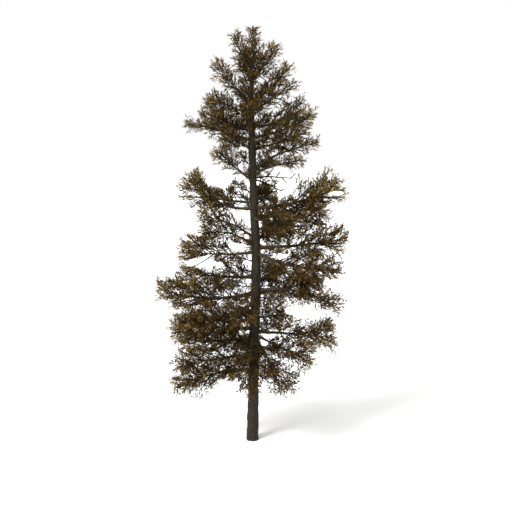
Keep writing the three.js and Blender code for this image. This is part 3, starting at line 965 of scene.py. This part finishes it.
# %% Limbs
FOOT_RADIUS = 0.03
FOOT_POWER = 0.8
STEM_TIP_RADIUS = 0.007
LIMB_TAPER = 1.15
COLLAR = 0.3
COLLAR_LENGTH = 0.09
LIMB_SIDES = 8
LIMB_STEP = 0.07
LIMB_KNOBS = 0.16
LIMB_KNOB_SCALE = 9
LEAST_RINGS = 4


def limb_radius(limb, share):
    plain = FOOT_RADIUS * limb["reach"] ** FOOT_POWER
    outside = max(0, share * limb["reach"] - trunk_radius(limb["height"]))
    foot = plain * (1 + COLLAR * math.exp(-outside / COLLAR_LENGTH))
    if limb["name"] == "top":
        foot = TIP_RADIUS
    return STEM_TIP_RADIUS + (foot - STEM_TIP_RADIUS) * (1 - share) ** LIMB_TAPER


def ring_round(centre, heading, radius, sides):
    side, rise = side_frame(heading)
    angles = 2 * np.pi * np.arange(sides) / sides
    return centre + radius * (np.outer(np.cos(angles), side) + np.outer(np.sin(angles), rise))


def limb_tube(limb, curve, end):
    count = max(LEAST_RINGS, int(limb["reach"] / LIMB_STEP))
    rings = []
    for share in np.linspace(0, end, count):
        centre = point_along(curve, share)
        knob = 1 + LIMB_KNOBS * noise.noise(Vector(centre) * LIMB_KNOB_SCALE)
        radius = knob * limb_radius(limb, share)
        rings.append(ring_round(centre, limb_heading(limb, share), radius, LIMB_SIDES))
    return np.concatenate(rings), tube_triangles(count, LIMB_SIDES)


def joined(parts):
    starts = np.cumsum([0] + [len(points) for points, _ in parts[:-1]])
    points = np.concatenate([points for points, _ in parts])
    triangles = np.concatenate([triangles + start for start, (_, triangles) in zip(starts, parts)])
    return points, triangles


limb_parts = [limb_tube(g["limb"], g["curve"], g["end"]) for g in grown.values()]
limbs = mesh_object("limb_bark", *joined(limb_parts), [LIMB_BARK], smooth=True)
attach(limbs, "root")
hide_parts(*[node for node in NODES if node.startswith("bough_")])

# %% [markdown]
# ## Twigs
# Twigs are thin, so three sides are enough: at any distance where they show, the eye reads a line. They are
# joined into one piece for the whole crown.

# %% Twigs
TWIG_SIDES = 3
MASS_PREFIX = "needles_"


def twig_tube(path, foot, tip):
    last = len(path) - 1
    rings = []
    for i in range(last):
        share = i / last
        rings.append(ring_round(path[i], heading_along(path, share), foot + (tip - foot) * share, TWIG_SIDES))
    points = np.concatenate([*rings, path[-1:]])
    walls = tube_triangles(last, TWIG_SIDES)[: -(TWIG_SIDES - 2)]
    final = TWIG_SIDES * (last - 1) + np.arange(TWIG_SIDES)
    point = np.full(TWIG_SIDES, len(points) - 1)
    return points, np.concatenate([walls, np.stack([final, np.roll(final, -1), point], 1)])


MASS_NODES = [node for node in NODES if node.startswith(MASS_PREFIX)]
twig_parts = [twig_tube(*wood) for g in grown.values() for wood in g["crown"].wood]
twigs = mesh_object("twigs", *joined(twig_parts), [TWIG_BARK], smooth=True)
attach(twigs, "root")
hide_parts(*MASS_NODES)

# %% [markdown]
# ## Dead twigs
# Where light no longer reaches, a larch keeps its dead twigs for years: bare, forked, and as dark as the
# living ones. A few stand out below the crown and in its one wide gap. Each is one row of foot height,
# bearing, reach and climb, with short forks to alternate sides.

# %% Dead twigs
DEAD_TWIGS = {
    "bay": (10.45, 0, 1.5, (6, -8)),
    "bay_drooping": (10.42, 350, 1.25, (-20, -26)),
    "bay_rising": (9.35, 2, 1.2, (36, 50)),
    "foot_left": (2.42, 200, 0.8, (-40, -18)),
    "foot_right": (2.75, 350, 0.85, (-22, -38)),
    "side_left": (6.8, 178, 1.15, (4, 38)),
}
FORKS = 5
FORK_SHARES = (0.3, 0.92)
FORK_SCATTER = 0.04
FORK_LENGTHS = (0.3, 0.16)
FORK_SIZES = (0.8, 1.25)
FORK_ROLLS = (1.2, 1.9)
FORK_LEANS = (32, 58)
FORK_LIFTS = (-0.2, 0.5)
FORK_STEPS = 4
DEAD_FOOT = 0.042
DEAD_TIP = 0.02
FORK_FOOT = 0.028
FORK_TIP = 0.016
DEAD_SEED = 15000


def dead_twig(limb, dice):
    curve = limb_curve(limb)
    wood = [(curve, DEAD_FOOT, DEAD_TIP)]
    for k in range(FORKS):
        share = k / (FORKS - 1)
        along = between(FORK_SHARES, share) + dice.throw(-FORK_SCATTER, FORK_SCATTER)
        roll = math.pi * (k % 2) + dice.throw(*FORK_ROLLS)
        heading = lean_from(limb_heading(limb, along), math.radians(dice.throw(*FORK_LEANS)), roll)
        length = limb["reach"] * between(FORK_LENGTHS, share) * dice.throw(*FORK_SIZES)
        lift = dice.throw(*FORK_LIFTS) * UP
        fork = bent_path(point_along(curve, along), heading, length, lift, FORK_STEPS)
        wood.append((fork, FORK_FOOT, FORK_TIP))
    return wood


dead_wood = []
for i, (name, (height, bearing, reach, climb)) in enumerate(DEAD_TWIGS.items()):
    limb = {"name": name, "height": height, "bearing": bearing, "reach": reach, "climb": climb}
    dead_wood += dead_twig(limb, Dice(DEAD_SEED + SEED_STEP * i))
dead_parts = [twig_tube(*wood) for wood in dead_wood]
dead_twigs = mesh_object("dead_twigs", *joined(dead_parts), [TWIG_BARK], smooth=True)
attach(dead_twigs, "root")

# %% [markdown]
# ## Needles
# A larch shoot is a short stem with soft needles to all sides, leaning forward to its tip. Particles or
# instances would be lost when the model is exported, so every needle is a real face: slim, pointed and with
# its root on the stem. The needles are larger than life, so that a dozen stand for a full shoot. All shoots
# of a part of the crown are worked out together as arrays, one needle of each shoot at a time.

# %% Needles
NEEDLES = 12
NEEDLE_LENGTH = 0.09
NEEDLE_WIDTH = 0.0165
STEM_WIDTH = 0.011
LEAN_AT_FOOT = math.radians(26)
LEAN_AT_TIP = math.radians(7)
LEAN_SCATTER = math.radians(9)
FAN_DEPTH = math.radians(18)
NEEDLE_TWIST = math.radians(35)
NEEDLE_SIZES = (0.85, 1.15)
NEEDLE_AT_ENDS = 0.8
NEEDLE_AT_MIDDLE = 0.35
NEEDLE_SEED = 20


def unit(vectors):
    return vectors / np.linalg.norm(vectors, axis=-1, keepdims=True)


def shoot_frames(headings, rolls):
    side = np.cross(UP, headings)
    side[np.linalg.norm(side, axis=1) < NEAR_UPRIGHT] = (1, 0, 0)
    side = unit(side)
    rise = np.cross(headings, side)
    across = side * np.cos(rolls)[:, None] + rise * np.sin(rolls)[:, None]
    return across, np.cross(headings, across)


def needle_mesh(shoots, chance):
    feet, headings = (np.array([shoot[i] for shoot in shoots]) for i in (0, 1))
    lengths = np.array([shoot[2] for shoot in shoots])[:, None]
    count = len(shoots)
    across, through = shoot_frames(headings, chance.uniform(0, np.pi, count))
    half = 0.5 * STEM_WIDTH * across
    faces = [np.stack([feet - half, feet + half, feet + headings * lengths], 1)]
    for k in range(NEEDLES):
        share = (k + chance.uniform(0, 1, (count, 1))) / NEEDLES
        lean = LEAN_AT_FOOT + (LEAN_AT_TIP - LEAN_AT_FOOT) * share
        turn = (lean + chance.normal(0, LEAN_SCATTER, (count, 1))) * (-1) ** k
        tilt = chance.normal(0, FAN_DEPTH, (count, 1))
        flat = headings * np.cos(turn) + across * np.sin(turn)
        needle = flat * np.cos(tilt) + through * np.sin(tilt)
        twist = chance.normal(0, NEEDLE_TWIST, (count, 1))
        edge = np.cross(needle, unit(through * np.cos(twist) + flat * np.sin(twist)))
        half = 0.5 * NEEDLE_WIDTH * unit(edge)
        swell = NEEDLE_AT_ENDS + NEEDLE_AT_MIDDLE * np.sin(np.pi * share)
        size = NEEDLE_LENGTH * swell * chance.uniform(*NEEDLE_SIZES, (count, 1))
        roots = feet + headings * lengths * share
        faces.append(np.stack([roots - half, roots + half, roots + needle * size], 1))
    faces = np.stack(faces, 1)
    tints = np.repeat([shoot[3] for shoot in shoots], faces.shape[1])
    points = faces.reshape(-1, 3)
    return points, np.arange(len(points)).reshape(-1, 3), tints


print("needles of a shoot:", NEEDLES, "each about", NEEDLE_LENGTH, "m long")

# %% [markdown]
# ## Needles by part of the crown
# One mesh of all needles would be too heavy to handle, and one for each limb would be too many. So the
# needles are joined by the part of the crown that they stand in, and each piece takes the place of that
# part's masses.

# %% Needle pieces
LOW_CROWN = 5.5
HIGH_CROWN = 9.8


def region_of(limb):
    side = limb["name"].split("_")[0]
    if side not in ("left", "right"):
        return side
    if limb["height"] < LOW_CROWN:
        return side + "_low"
    return side + ("_middle" if limb["height"] < HIGH_CROWN else "_high")


regions = {}
for g in grown.values():
    regions.setdefault(region_of(g["limb"]), []).append(g)
chance = np.random.default_rng(NEEDLE_SEED)
for region, members in regions.items():
    shoots = [shoot for g in members for shoot in g["crown"].shoots]
    points, triangles, tints = needle_mesh(shoots, chance)
    needles = mesh_object("needles_" + region, points, triangles, NEEDLE_LOOKS, tints)
    limb_names = [g["limb"]["name"] for g in members]
    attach(needles, "root")
    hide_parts(*[node for node in MASS_NODES if node.removeprefix(MASS_PREFIX) in limb_names])
